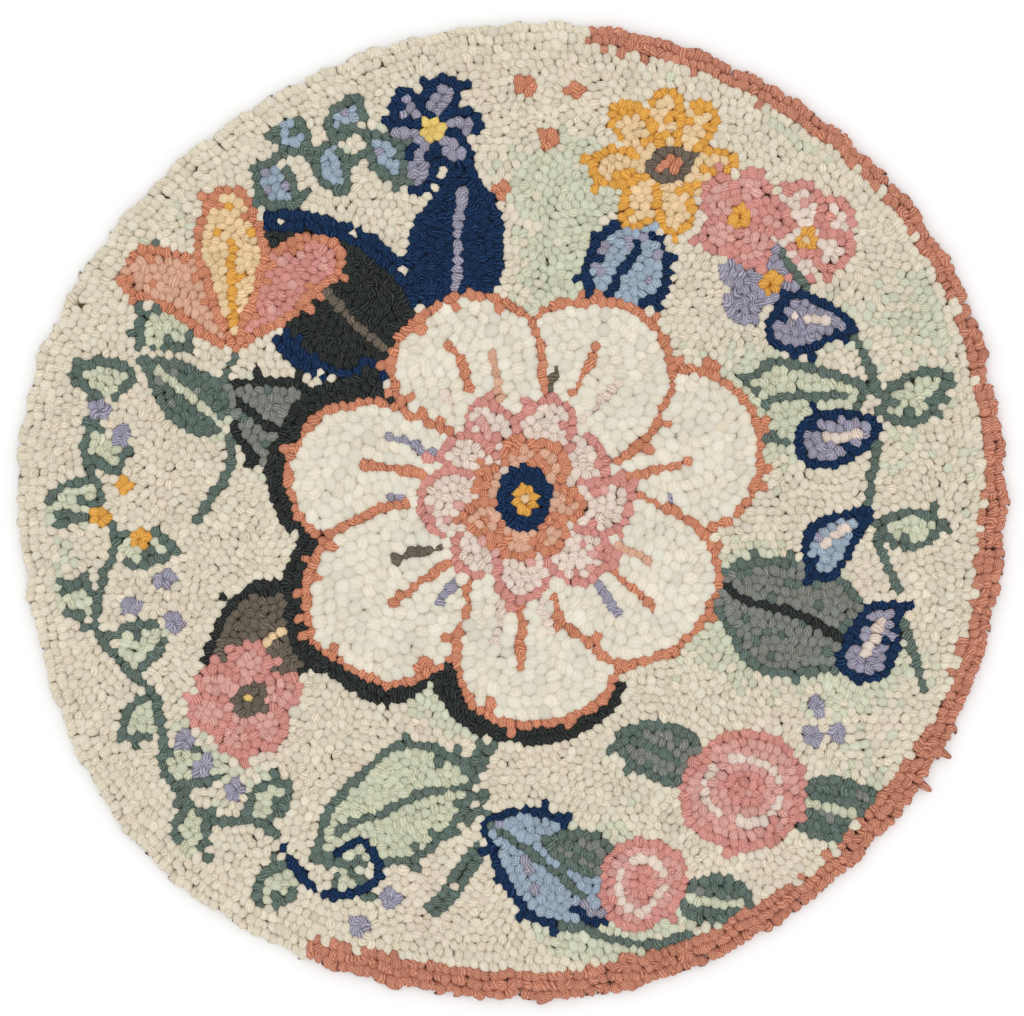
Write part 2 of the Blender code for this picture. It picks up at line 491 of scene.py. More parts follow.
def distance_to(points, line, closed):
    """Each point's distance to the nearest of a line's straight stretches."""
    start = line if closed else line[:-1]
    along = (np.roll(line, -1, axis=0) if closed else line[1:]) - start
    length2 = np.maximum((along**2).sum(axis=1), 1e-9)
    offset = points[:, None] - start
    share = np.clip((offset * along).sum(axis=2) / length2, 0, 1)
    return np.sqrt(((offset - share[..., None] * along) ** 2).sum(axis=2)).min(axis=1)


def beside(line, offset, step, closed):
    """A row at a signed distance to a line's left, where it keeps that distance from all of it."""
    points, headings = spaced(line, 1.5, closed)
    row = points + offset * np.stack([-np.sin(headings), np.cos(headings)], axis=1)
    row = row[distance_to(row, line, closed) > 0.93 * abs(offset)]
    return spaced(row, step, closed) if len(row) > 2 else (row, np.zeros(len(row)))


def rows_of(item):
    """(points, headings) of each row of loops that an item's path is laid in. A patch's second row
    lies inside its first, and a line's two rows lie on either side of it."""
    for row in range(item.rows):
        offset = ROW * (row if item.closed else row - (item.rows - 1) / 2)
        if offset == 0:
            yield spaced(item.path, ALONG_ROW, item.closed)
        else:
            yield beside(item.path, offset, ALONG_ROW, item.closed)


def near_item(item, points):
    """Indices of the points in an item's box, widened by two rows."""
    low, high = item.path.min(axis=0) - 2 * ROW, item.path.max(axis=0) + 2 * ROW
    return np.flatnonzero(((points > low) & (points < high)).all(axis=1))


def covers_line(item, points, margin):
    if not item.closed:
        margin = margin + ROW / 2 * (item.rows - 1)
    return distance_to(points, item.path, item.closed) < margin


def covers(item, points, margin):
    near = covers_line(item, points, margin)
    return near | is_inside(points, item.path) if item.closed else near


# The layout of the loops.


class Loops(NamedTuple):
    """Loops of yarn as they lie seen from above, in millimetres. Heading is that of their strands.
    Held loops are those of a line or of the rim, which stay where they are laid."""

    spots: np.ndarray
    yarn: np.ndarray
    radius: np.ndarray
    heading: np.ndarray
    held: np.ndarray


def part_of(table, kept):
    """A table of columns with only some of its rows."""
    return table._make(column[kept] for column in table)


def joined(one, other):
    """Two tables with the same columns, one after the other."""
    return one._make(np.concatenate(pair) for pair in zip(one, other))


def yarn_number(name):
    return YARN_NAMES.index(name)


BULK = np.array([yarn.bulk for yarn in YARNS.values()])
FULLNESS = np.array([yarn.fullness for yarn in YARNS.values()])


def squeezed(apart, heading):
    """The length of vectors once they are shortened along a heading and lengthened across it, so that
    loops that touch have the same length between them on every side."""
    along = apart[:, 0] * np.cos(heading) + apart[:, 1] * np.sin(heading)
    across = apart[:, 1] * np.cos(heading) - apart[:, 0] * np.sin(heading)
    return np.hypot(along / STRETCH, across * STRETCH)


def close_pairs(points, limit):
    """Index pairs of points nearer to each other than a limit. The points are sorted into square
    cells, and each is compared with those in its own cell and in the eight round it."""
    cells = np.floor(points / limit).astype(int)
    cells -= cells.min(axis=0) - 1
    columns = cells[:, 1].max() + 2
    cell = cells[:, 0] * columns + cells[:, 1]
    order = np.argsort(cell, kind="stable")
    starts = np.searchsorted(cell[order], np.arange(cell.max() + columns + 3))
    found = []
    for shift in (down * columns + across for down in (-1, 0, 1) for across in (-1, 0, 1)):
        first, last = starts[cell + shift], starts[cell + shift + 1]
        for place in range(int((last - first).max())):
            one = np.flatnonzero(first + place < last)
            found.append(np.stack([one, order[first[one] + place]]))
    one, other = np.concatenate(found, axis=1)
    near = (one != other) & (np.hypot(*(points[one] - points[other]).T) < limit)
    return one[near], other[near]


def neighbours(loops):
    """Index pairs of loops near each other, the way from the second to the first, its squeezed length
    and the sum of their radii."""
    one, other = close_pairs(loops.spots, 2.5 * loops.radius.max())
    apart = loops.spots[one] - loops.spots[other]
    return one, other, apart, squeezed(apart, loops.heading[one]), loops.radius[one] + loops.radius[other]


def spread_out(loops, rounds):
    """Free loops move away from those that they press on, a third of the overlap in each round."""
    for _ in range(rounds):
        one, _, apart, gap, radii = neighbours(loops)
        gap = np.maximum(gap, 0.01)
        press = np.maximum(radii * FIRMNESS - gap, 0) / 3 / gap
        push = [np.bincount(one, apart[:, axis] * press, len(loops.spots)) for axis in (0, 1)]
        loops = loops._replace(spots=loops.spots + np.where(loops.held[:, None], 0, np.stack(push, axis=1)))
    return loops


def thin_out(loops, least):
    """Drops free loops whose gap to a neighbour is less than a share of the sum of their radii. Of
    two free loops the later goes."""
    one, other, _, gap, radii = neighbours(loops)
    tight = gap < least * radii
    tight &= ~loops.held[one] & (loops.held[other] | (one > other))
    return part_of(loops, np.bincount(one[tight], minlength=len(loops.spots)) == 0)


def depth_inside(points, rim):
    """How far inside the rim each point lies."""
    return rim(np.arctan2(points[:, 1], points[:, 0])) - np.hypot(*points.T)


def bare_places(loops, rim):
    """The points of a fine grid that no loop comes near."""
    step = 1.5
    reach = 1.28
    side = int(2 * HALF_FIELD / step)
    covered = np.zeros((side, side), bool)
    cells = np.floor((loops.spots + HALF_FIELD) / step).astype(int)
    around = range(-5, 6)
    for shift in ((across, up) for across in around for up in around):
        middle = (cells + shift + 0.5) * step - HALF_FIELD
        hit = squeezed(middle - loops.spots, loops.heading) < reach * loops.radius
        covered[tuple((cells[hit] + shift).T)] = True
    grid = (np.argwhere(~covered) + 0.5) * step - HALF_FIELD
    return grid[depth_inside(grid, rim) > FREE_INSET]


def picked_apart(points, least, draws):
    """Some of the points, taken in a random order, each at least a distance from those taken."""
    taken = np.empty((0, 2))
    for point in points[draws.permutation(len(points))]:
        if len(taken) == 0 or np.hypot(*(taken - point).T).min() > least:
            taken = np.vstack([taken, point])
    return taken


def in_border(points, rim, draws):
    """Which points lie in the plain border, whose inner side is uneven by part of a loop."""
    degrees, widths = np.array(BORDER).T
    direction = np.degrees(np.arctan2(points[:, 1], points[:, 0]))
    width = np.interp(direction, degrees, widths, left=-ROW, right=-ROW)
    return depth_inside(points, rim) < width + draws.normal(0, UNEVEN_BORDER, len(points))


def held_loops(art, rim, draws):
    """Loops of the drawn lines, less those that later shapes cover, and of the rows along the rim.
    Where two would crowd each other the later one stays."""
    laid = []
    for number, item in enumerate(art):
        for row, heading in rows_of(item):
            seen = depth_inside(row, rim) > CLEAR_OF_RIM
            for later in art[number + 1 :]:
                some = near_item(later, row)
                seen[some] &= ~covers(later, row[some], CLEAR_OF_LATER)
            laid.append((row[seen], np.full(seen.sum(), yarn_number(item.drawn)), heading[seen]))
    turn = whole_turn(1440)
    for rim_row in RIM_ROWS:
        radius = rim(turn) - rim_row.inset
        for size, waves, start in RIM_WAVERS:
            radius = radius + size * np.sin(waves * turn + start)
        row, heading = spaced(polar(radius, turn), rim_row.step, closed=True)
        border = in_border(row, rim, draws)
        laid.append((row, np.where(border, yarn_number("coral"), yarn_number("cream")), heading))
    points, yarn, heading = (np.concatenate(column) for column in zip(*laid))
    one, other = close_pairs(points, CROWDED)
    kept = np.ones(len(points), bool)
    for earlier in np.unique(one[one < other])[::-1]:
        kept[earlier] = not kept[other[(one == earlier) & (other > earlier)]].any()
    points = points + draws.uniform(-HAND_SLIP, HAND_SLIP, points.shape)
    radius = BULK[yarn] * draws.uniform(0.88, 1.15, len(yarn))
    held = np.ones(len(yarn), bool)
    return part_of(Loops(points, yarn, radius, heading + STRANDS_TURNED, held), kept)


def painted(points, art, rim, draws):
    """The yarn for each free loop: its topmost patch's fill or now and then the fill's kin, or on the
    ground cream with drifts of greener and pinker cream. Some loops beside a patch's outline take its
    yarn, so that the outline is ragged."""
    yarn = np.full(len(points), yarn_number("cream"))
    to_right = (points[:, 0] - 0.2 * points[:, 1]) / HALF_FIELD
    for name, size, seed, more_right, stray, least in DRIFTS:
        level = soft_noise(points, size, seed) + more_right * to_right + draws.normal(0, stray, len(points))
        yarn[level > least] = yarn_number(name)
    kin = draws.random(len(points)) < KIN_CHANCE
    stepped_out = draws.random(len(points)) < STEPPED_OUT_CHANCE
    for item in art:
        if not item.closed:
            continue
        some = near_item(item, points)
        inside = some[is_inside(points[some], item.path)]
        yarn[inside] = yarn_number(item.fill)
        yarn[inside[kin[inside]]] = yarn_number(KIN.get(item.fill, item.fill))
        if item.fill != item.drawn:
            some = some[stepped_out[some]]
            yarn[some[covers_line(item, points[some], 1.15 * ROW)]] = yarn_number(item.drawn)
    yarn[in_border(points, rim, draws)] = yarn_number("coral")
    return yarn


def axial_blend(first, second, share):
    """Headings between two sets of headings, where a half turn makes no difference: their doubled
    angles are mixed as arrows and halved again."""
    across = share * np.cos(2 * first) + (1 - share) * np.cos(2 * second)
    up = share * np.sin(2 * first) + (1 - share) * np.sin(2 * second)
    return np.arctan2(up, across) / 2


def strand_headings(points, held):
    """Strands run as those of the nearest held loop, the more so the nearer it is, and elsewhere as a
    slowly turning field."""
    nearest = []
    gap = []
    for some in np.array_split(points, 1 + len(points) // 1000):
        apart = np.hypot(*(some[:, None] - held.spots).transpose(2, 0, 1))
        nearest.append(apart.argmin(axis=1))
        gap.append(apart.min(axis=1))
    wandering = math.pi * soft_noise(points, 240, 41)
    share = np.exp(-np.concatenate(gap) / 30.0)
    return axial_blend(held.heading[np.concatenate(nearest)], wandering, share)


def free_loops(points, art, rim, held, draws, shrink=1.0):
    yarn = painted(points, art, rim, draws)
    radius = BULK[yarn] * draws.uniform(0.88, 1.12, len(yarn)) * shrink
    return Loops(points, yarn, radius, strand_headings(points, held), np.zeros(len(yarn), bool))


def staggered_grid(step):
    columns = np.arange(-HALF_FIELD, HALF_FIELD, step)
    x, y = np.meshgrid(columns, np.arange(-HALF_FIELD, HALF_FIELD, step * math.sqrt(3) / 2))
    x = x + (np.arange(len(x)) % 2)[:, None] * step / 2
    return np.stack([x.ravel(), y.ravel()], axis=1)


def laid_out(rim):
    """All the loops: held ones first, then free ones, which start on a staggered grid and are spread
    and thinned by turns until they lie snugly, with new ones set where a bare place is left."""
    draws = np.random.default_rng(SEED)
    art = [item._replace(path=hand_drawn(item.path)) for item in drawing(rim)]
    held = held_loops(art, rim, draws)
    start = staggered_grid(0.98 * GRID)
    start += draws.uniform(-START_SLIP, START_SLIP, start.shape)
    start = free_loops(start[depth_inside(start, rim) > FREE_INSET], art, rim, held, draws)
    chance = (GRID / 2 / start.radius) ** 2
    loops = joined(held, part_of(start, draws.random(len(start.yarn)) < chance * FIRMNESS))
    for least in THINNINGS:
        loops = thin_out(spread_out(loops, rounds=12), least)
    for _ in range(3):
        gaps = picked_apart(bare_places(loops, rim), 0.9 * GRID, draws)
        if len(gaps):
            loops = joined(loops, free_loops(gaps, art, rim, held, draws, shrink=0.92))
            loops = spread_out(loops, rounds=8)
    yarn = np.where(loops.held, loops.yarn, painted(loops.spots, art, rim, draws))
    heading = np.where(loops.held, loops.heading, strand_headings(loops.spots, held))
    return loops._replace(yarn=yarn, heading=heading)


# What the solids give.


def node_points(frame, node):
    mesh = frame["nodes"][node].data
    points = np.empty(3 * len(mesh.vertices), np.float32)
    mesh.vertices.foreach_get("co", points)
    return points.reshape(-1, 3).astype(float) / MM


def reach_by_angle(points, bins=72, smoothing=2):
    """A function that gives the reach of a set of points in a direction: the furthest point in each
    narrow sector, then the median of each sector and its neighbours, which passes over a loop that
    has slipped out, and a line through the sectors' middles."""
    turn = np.arctan2(points[:, 1], points[:, 0]) % FULL_TURN
    sector = np.minimum((turn / FULL_TURN * bins).astype(int), bins - 1)
    furthest = np.zeros(bins)
    np.maximum.at(furthest, sector, np.hypot(points[:, 0], points[:, 1]))
    shifted = [np.roll(furthest, shift) for shift in range(-smoothing, smoothing + 1)]
    level = np.median(shifted, axis=0)
    middles = (np.arange(bins) + 0.5) / bins * FULL_TURN

    def reach(angle):
        return np.interp(angle, middles, level, period=FULL_TURN)

    return reach


def height_over(points, top, width=8.0):
    """The height of the slab's top at each point: the mean of the top's own points, weighted by a
    bell curve of their distance."""
    heights = []
    for some in np.array_split(points, max(1, len(points) // 1000)):
        apart2 = ((some[:, None] - top[:, :2]) ** 2).sum(axis=2)
        weight = np.exp(-apart2 / (2 * width**2)) + 1e-12
        heights.append((weight * top[:, 2]).sum(axis=1) / weight.sum(axis=1))
    return np.concatenate(heights)


# The loops in the round.


class Station(NamedTuple):
    """A place along a loop's ring: how far out and how high its middle is, and its thickness, as
    shares of the loop's own half span, height and half thickness."""

    along: float
    height: float
    wide: float
    thick: float


STATIONS = (
    Station(0.45, 0.0, 0.45, 0.20),
    Station(1.26, 0.50, 1.30, 1.05),
    Station(0.84, 0.82, 0.97, 0.98),
    Station(0.0, 1.0, 1.0, 1.0),
    Station(-0.84, 0.82, 0.97, 0.98),
    Station(-1.26, 0.50, 1.30, 1.05),
    Station(-0.45, 0.0, 0.45, 0.20),
)

# Points round the yarn, across and outwards, as shares of its half width and half thickness, from
# the inner side round.
SECTION = np.array(
    [(0.0, -0.6), (1.0, -0.3), (0.82, 0.44), (0.34, 0.95), (-0.34, 0.95), (-0.82, 0.44), (-1.0, -0.3)]
)

# The height of a loop's middle line in its stitch, the lowest that any of its points may lie, and half
# the length over which its strands are laid out, in millimetres. A loop leans by a power of its height.
STITCH_HEIGHT = 1.1
LOWEST = 0.1
CROWN_REACH = 5.0
LEAN_POWER = 1.4

# A loop of the usual radius, in millimetres.
USUAL_RADIUS = 3.8
HALF_SPAN = 2.5
HALF_WIDTH = 3.8
HALF_THICK = 2.8


class Shapes(NamedTuple):
    """How each loop stands, in millimetres: where it leaves the cloth, how far its top leans, the
    height of its top, its heading, half span, half width, half thickness, twist, how far it is bowed
    sideways, and the slope and the curl of its strands."""

    foot: np.ndarray
    lean: np.ndarray
    top: np.ndarray
    heading: np.ndarray
    half_span: np.ndarray
    half_width: np.ndarray
    half_thick: np.ndarray
    twist: np.ndarray
    bow: np.ndarray
    slope: np.ndarray
    curl: np.ndarray


def shapes_of(loops, rim, top, draws):
    """How each laid loop stands. Its top is on the slab's own top, less a little towards the rim,
    where the loops lean outwards and down over the folded edge of the cloth."""
    count = len(loops.yarn)
    out = loops.spots / np.hypot(*loops.spots.T)[:, None]
    inset = depth_inside(loops.spots, rim)
    insets, _, leans, drops = zip(*RIM_ROWS, RimRow(RIM_WIDTH, 0.0, 0.0, 0.0))
    outward = np.interp(inset, insets, leans)
    drop = np.interp(inset, insets, drops)
    lean = out * outward[:, None] + draws.normal(0, 1, (count, 2)) * (0.8 + 0.12 * outward)[:, None]
    size = loops.radius / USUAL_RADIUS
    full = FULLNESS[loops.yarn]
    return Shapes(
        foot=loops.spots - lean,
        lean=lean,
        top=height_over(loops.spots, top) - drop + np.clip(draws.normal(0, 0.7, count), -1.6, 1.0),
        heading=loops.heading + draws.normal(0, 0.35, count),
        half_span=HALF_SPAN * full * size * draws.uniform(0.85, 1.25, count),
        half_width=HALF_WIDTH * full * size * draws.uniform(0.88, 1.14, count),
        half_thick=HALF_THICK * size * draws.uniform(0.92, 1.06, count),
        twist=np.clip(draws.normal(0.15, 0.12, count), -0.2, 0.45),
        bow=draws.normal(0, 0.9, count),
        slope=draws.normal(0.2, 0.4, count),
        curl=draws.normal(0, 1.2, count),
    )


def stray_shapes(rim):
    """The slipped loops: thin ones that lie almost flat and point straight out past the rim."""
    foot_inset = 9.0
    over_tip = 1.0
    turn = np.radians([stray.degrees for stray in STRAYS])
    past_rim = np.array([stray.reach_past_rim for stray in STRAYS])
    out = polar(1.0, turn)
    same = np.ones(len(STRAYS))
    return Shapes(
        foot=out * (rim(turn) - foot_inset)[:, None],
        lean=out * (foot_inset + past_rim + over_tip)[:, None],
        top=7.5 * same,
        heading=turn,
        half_span=2.6 * same,
        half_width=2.9 * same,
        half_thick=1.7 * same,
        twist=0.4 * same,
        bow=0 * same,
        slope=0 * same,
        curl=0 * same,
    )


def ring_points(shapes):
    """Every loop's points, as (loop, station, point round the yarn, axis), in millimetres. The ring's
    middle line lies in an upright plane. At each station the yarn's section stands across that line,
    turned by the loop's twist, and the whole loop is then sheared by its lean."""
    along, height, wide, thick = np.array(STATIONS).T
    rise = shapes.top - shapes.half_thick - STITCH_HEIGHT
    line_x = along * shapes.half_span[:, None]
    line_z = STITCH_HEIGHT + height * rise[:, None]
    step_x = np.roll(line_x, -1, axis=1) - np.roll(line_x, 1, axis=1)
    step_z = np.roll(line_z, -1, axis=1) - np.roll(line_z, 1, axis=1)
    length = np.hypot(step_x, step_z)
    across = SECTION[:, 0] * (shapes.half_width[:, None] * wide)[..., None]
    across = across + (shapes.bow[:, None] * (along**2 - 0.5))[..., None]
    outward = SECTION[:, 1] * (shapes.half_thick[:, None] * thick)[..., None]
    swirl = (shapes.twist[:, None] * along)[..., None]
    across, outward = (
        across * np.cos(swirl) - outward * np.sin(swirl),
        across * np.sin(swirl) + outward * np.cos(swirl),
    )
    x = line_x[..., None] + outward * (step_z / length)[..., None]
    z = np.maximum(line_z[..., None] - outward * (step_x / length)[..., None], LOWEST)
    cos, sin = (part(shapes.heading)[:, None, None] for part in (np.cos, np.sin))
    bend = np.clip(z / shapes.top[:, None, None], 0, 1.1) ** LEAN_POWER
    return np.stack(
        [
            shapes.foot[:, 0, None, None] + x * cos - across * sin + bend * shapes.lean[:, 0, None, None],
            shapes.foot[:, 1, None, None] + x * sin + across * cos + bend * shapes.lean[:, 1, None, None],
            z,
        ],
        axis=-1,
    )


def ring_faces():
    """The four corners of each face of one loop, as (station, point round) steps from its first point.
    Both directions close on themselves."""
    stations, around = len(STATIONS), len(SECTION)
    station, point = (grid.ravel() for grid in np.mgrid[0:stations, 0:around])
    steps = np.array([(0, 0), (1, 0), (1, 1), (0, 1)])
    corners = np.stack([station[:, None] + steps[:, 0], point[:, None] + steps[:, 1]], axis=-1)
    index = corners[..., 0] % stations * around + corners[..., 1] % around
    return corners, index


def new_mesh(name, points, *faces):
    """A smooth mesh from an array of points in millimetres and arrays of faces' corners."""
    corners = np.concatenate([some.ravel() for some in faces])
    sizes = np.concatenate([np.full(len(some), some.shape[1]) for some in faces])
    mesh = bpy.data.meshes.new(name)
    mesh.vertices.add(len(points))
    mesh.vertices.foreach_set("co", (points * MM).astype(np.float32).ravel())
    mesh.loops.add(len(corners))
    mesh.loops.foreach_set("vertex_index", corners.astype(np.int32))
    mesh.polygons.add(len(sizes))
    mesh.polygons.foreach_set("loop_start", (np.cumsum(sizes) - sizes).astype(np.int32))
    mesh.update(calc_edges=True)
    mesh.shade_smooth()
    return mesh


def new_object(name, data):
    made = bpy.data.objects.new(name, data)
    bpy.context.scene.collection.objects.link(made)
    return made


def add_piece(name, mesh, material, stands_for):
    """A finished piece of the rug: it rides on the rug's one body and stands for a solid."""
    mesh.materials.append(material)
    piece = new_object(name, mesh)
    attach(piece, "root")
    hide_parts(stands_for)
    return piece


def add_map(mesh, name, values):
    mesh.uv_layers.new(name=name).data.foreach_set("uv", values.astype(np.float32).ravel())


def add_shade(mesh, name, values):
    mesh.attributes.new(name, "FLOAT", "POINT").data.foreach_set("value", values.astype(np.float32).ravel())


def loops_mesh(name, shapes, draws):
    """One mesh of many loops. It carries a map in which each loop unrolls into a tile of its own, a
    map in millimetres across and along its strands, a tone and a tint for each loop, and each point's
    depth below its loop's top, by which the wool is darkened as painted shade."""
    points = ring_points(shapes)
    count, stations, around, _ = points.shape
    corners, index = ring_faces()
    quads = (np.arange(count)[:, None, None] * stations * around + index).reshape(-1, 4)
    mesh = new_mesh(name, points.reshape(-1, 3), quads)
    tiles_across = math.ceil(math.sqrt(count))
    tile = np.stack([np.arange(count) % tiles_across, np.arange(count) // tiles_across], axis=1)
    margin = 0.06
    share = corners / (stations, around)
    add_map(mesh, "OFBake", (tile[:, None, None] + margin + (1 - 2 * margin) * share) / tiles_across)
    station, point = corners[..., 0] % stations, corners[..., 1] % around
    along = CROWN_REACH * np.array(STATIONS)[station, 0]
    slope, curl = (column[:, None, None] for column in (shapes.slope, shapes.curl))
    looseness = draws.uniform(0.72, 1.28, (count, 1, 1))
    across = shapes.half_width[:, None, None] * SECTION[point, 0] * looseness
    across = across + slope * along + curl * along**2 / CROWN_REACH
    offset = draws.uniform(0, 400, (count, 1, 1, 2))
    add_map(mesh, "strands", np.stack(np.broadcast_arrays(across, along), axis=-1) + offset)
    for name in ("tone", "tint"):
        add_shade(mesh, name, np.repeat(draws.normal(0, 1, count), stations * around))
    # Each point's depth below its loop's top, which the wool darkens with as painted shade.
    add_shade(mesh, "depth", shapes.top[:, None, None] - points[..., 2])
    return mesh


def build_loops(frame):
    """Lays the loops out and makes a piece of each yarn's, or several where it has very many."""
    solid = node_points(frame, "loop_pile")
    rim = reach_by_angle(solid)
    top = solid[solid[:, 2] > 0.5 * (solid[:, 2].min() + solid[:, 2].max())]
    loops = laid_out(rim)
    draws = np.random.default_rng(SEED + 1)
    shapes = joined(shapes_of(loops, rim, top, draws), stray_shapes(rim))
    yarn = np.concatenate([loops.yarn, [yarn_number(stray.yarn) for stray in STRAYS]])
    turn = np.arctan2(shapes.foot[:, 1], shapes.foot[:, 0])
    group = wool_group()
    pieces = []
    for number, name in enumerate(YARN_NAMES):
        mine = np.flatnonzero(yarn == number)
        mine = mine[np.argsort(turn[mine], kind="stable")]
        shares = np.array_split(mine, math.ceil(len(mine) / MOST_LOOPS_A_PIECE)) if len(mine) else []
        material = wool_material(name, YARNS[name], group)
        for part, share in enumerate(shares, start=1):
            title = f"{name}_loops" if len(shares) == 1 else f"{name}_loops_{part}"
            mesh = loops_mesh(title, part_of(shapes, share), draws)
            pieces.append(add_piece(title, mesh, material, "loop_pile"))
    return pieces


# The foundation cloth.


class Ring(NamedTuple):
    """A ring of the cloth's section: its share of the way from the middle, its distance inside the
    folded edge, its height, both in millimetres, and how far it follows the hand-cut edge."""

    share: float
    inset: float
    height: float
    waver: float = 0.0


# From the middle of the face, round the fold and under to the cut edge, then back between the two
# layers to the middle of the back.
CLOTH_RINGS = (
    *(Ring(share, 0.0, 1.95) for share in (0.25, 0.5, 0.75)),
    Ring(1.0, 20.0, 1.95),
    Ring(1.0, 1.3, 1.95),
    Ring(1.0, 0.35, 1.65),
    Ring(1.0, 0.0, 1.0),
    Ring(1.0, 0.35, 0.32),
    Ring(1.0, 1.3, 0.0),
    Ring(1.0, 9.0, 0.0, 0.2),
    Ring(1.0, 18.0, 0.0, 0.6),
    Ring(1.0, 27.6, 0.0, 1.0),
    Ring(1.0, 28.2, 0.4, 1.0),
    Ring(1.0, 27.6, 0.8, 1.0),
    Ring(1.0, 18.0, 0.8, 0.6),
    Ring(1.0, 9.0, 0.8, 0.2),
    Ring(1.0, 3.0, 0.8),
    Ring(1.0, 2.3, 0.98),
    Ring(1.0, 3.0, 1.15),
    Ring(1.0, 20.0, 1.15),
    *(Ring(share, 0.0, 1.15) for share in (0.75, 0.5, 0.25)),
)
HEM_WIDTH = 28.0
CLOTH_STEPS = 180


def band_faces(rings):
    """The faces between a number of rings of points, each ring joined to the next."""
    ring, step = (grid.ravel() for grid in np.mgrid[0 : rings - 1, 0:CLOTH_STEPS])
    after = (step + 1) % CLOTH_STEPS
    quads = np.stack([ring, ring + 1, ring + 1, ring], axis=1) * CLOTH_STEPS
    return quads + np.stack([step, step, after, after], axis=1)


def cloth_mesh(name, edge):
    """The cloth: its section carried round the outline, with the middle of each side closed by a fan."""
    turn = whole_turn(CLOTH_STEPS)
    wander = 1.1 * np.sin(5 * turn + 1.0) + 0.8 * np.sin(13 * turn) + 0.5 * np.sin(31 * turn + 2.0)
    share, inset, height, waver = (column[:, None] for column in np.array(CLOTH_RINGS).T)
    radius = share * edge(turn) - inset + waver * wander
    middles = [(0.0, 0.0, CLOTH_RINGS[0].height), (0.0, 0.0, CLOTH_RINGS[-1].height)]
    points = np.vstack([raised(polar(radius, turn), height).reshape(-1, 3), middles])
    step = np.arange(CLOTH_STEPS)
    after = (step + 1) % CLOTH_STEPS
    last = (len(CLOTH_RINGS) - 1) * CLOTH_STEPS
    top = np.stack([np.full(CLOTH_STEPS, len(points) - 2), step, after], axis=1)
    bottom = np.stack([np.full(CLOTH_STEPS, len(points) - 1), last + after, last + step], axis=1)
    return new_mesh(name, points, band_faces(len(CLOTH_RINGS)), top, bottom)


def build_foundation(edge):
    name = "foundation_cloth_folded"
    cloth = add_piece(name, cloth_mesh(name, edge), linen_material(), "foundation_cloth")
    cut_radius = (edge(whole_turn(CLOTH_STEPS)) + HEM_WIDTH) * MM


# Materials.


def linear(colour):
    """An sRGB colour, 0 to 255, as the linear one that a shader takes."""
    share = np.array(colour) / 255
    value = np.where(share > 0.04045, ((share + 0.055) / 1.055) ** 2.4, share / 12.92)
    return (*value, 1.0)


def set_inputs(tree, node, inputs):
    """Gives some of a node's inputs their values, each a constant or another node's socket."""
    for name, value in inputs.items():
        if isinstance(value, bpy.types.NodeSocket):
            tree.links.new(value, node.inputs[name])
        else:
            node.inputs[name].default_value = value


def add_node(tree, kind, inputs=None, **settings):
    """Adds a shader node with its settings and inputs."""
    node = tree.nodes.new("ShaderNode" + kind)
    for name, value in settings.items():
        setattr(node, name, value)
    set_inputs(tree, node, inputs or {})
    return node


def maths(tree, operation, *values):
    return add_node(tree, "Math", dict(enumerate(values)), operation=operation).outputs[0]


def product(tree, *values):
    """The product of two values or more."""
    total = values[0]
    for value in values[1:]:
        total = maths(tree, "MULTIPLY", total, value)
    return total


def vector_maths(tree, operation, inputs):
    return add_node(tree, "VectorMath", inputs, operation=operation).outputs[0]


def mixed(tree, share, first, second):
    inputs = {0: share, 6: first, 7: second}
    return add_node(tree, "Mix", inputs, data_type="RGBA").outputs[2]


def ramped(tree, value, low, high, to_low=0.0, to_high=1.0):
    """A value eased from one range to another."""
    inputs = {"Value": value, "From Min": low, "From Max": high, "To Min": to_low, "To Max": to_high}
    return add_node(tree, "MapRange", inputs, interpolation_type="SMOOTHSTEP").outputs["Result"]


def noise(tree, place, size, detail=2.0):
    """Noise whose blobs are about a size in metres."""
    inputs = {"Vector": place, "Scale": 1 / size, "Detail": detail}
    return add_node(tree, "TexNoise", inputs).outputs["Fac"]


def new_group(name, colours, numbers):
    """A node group that takes colours and numbers and gives a colour and a height, still empty, with
    its input and output nodes."""
    tree = bpy.data.node_groups.new(name, "ShaderNodeTree")
    sockets = [(title, "INPUT", "Color") for title in colours]
    sockets += [(title, "INPUT", "Float") for title in numbers]
    sockets += [("Colour", "OUTPUT", "Color"), ("Height", "OUTPUT", "Float")]
    for title, side, kind in sockets:
        tree.interface.new_socket(title, in_out=side, socket_type="NodeSocket" + kind)
    return tree, tree.nodes.new("NodeGroupInput"), tree.nodes.new("NodeGroupOutput")


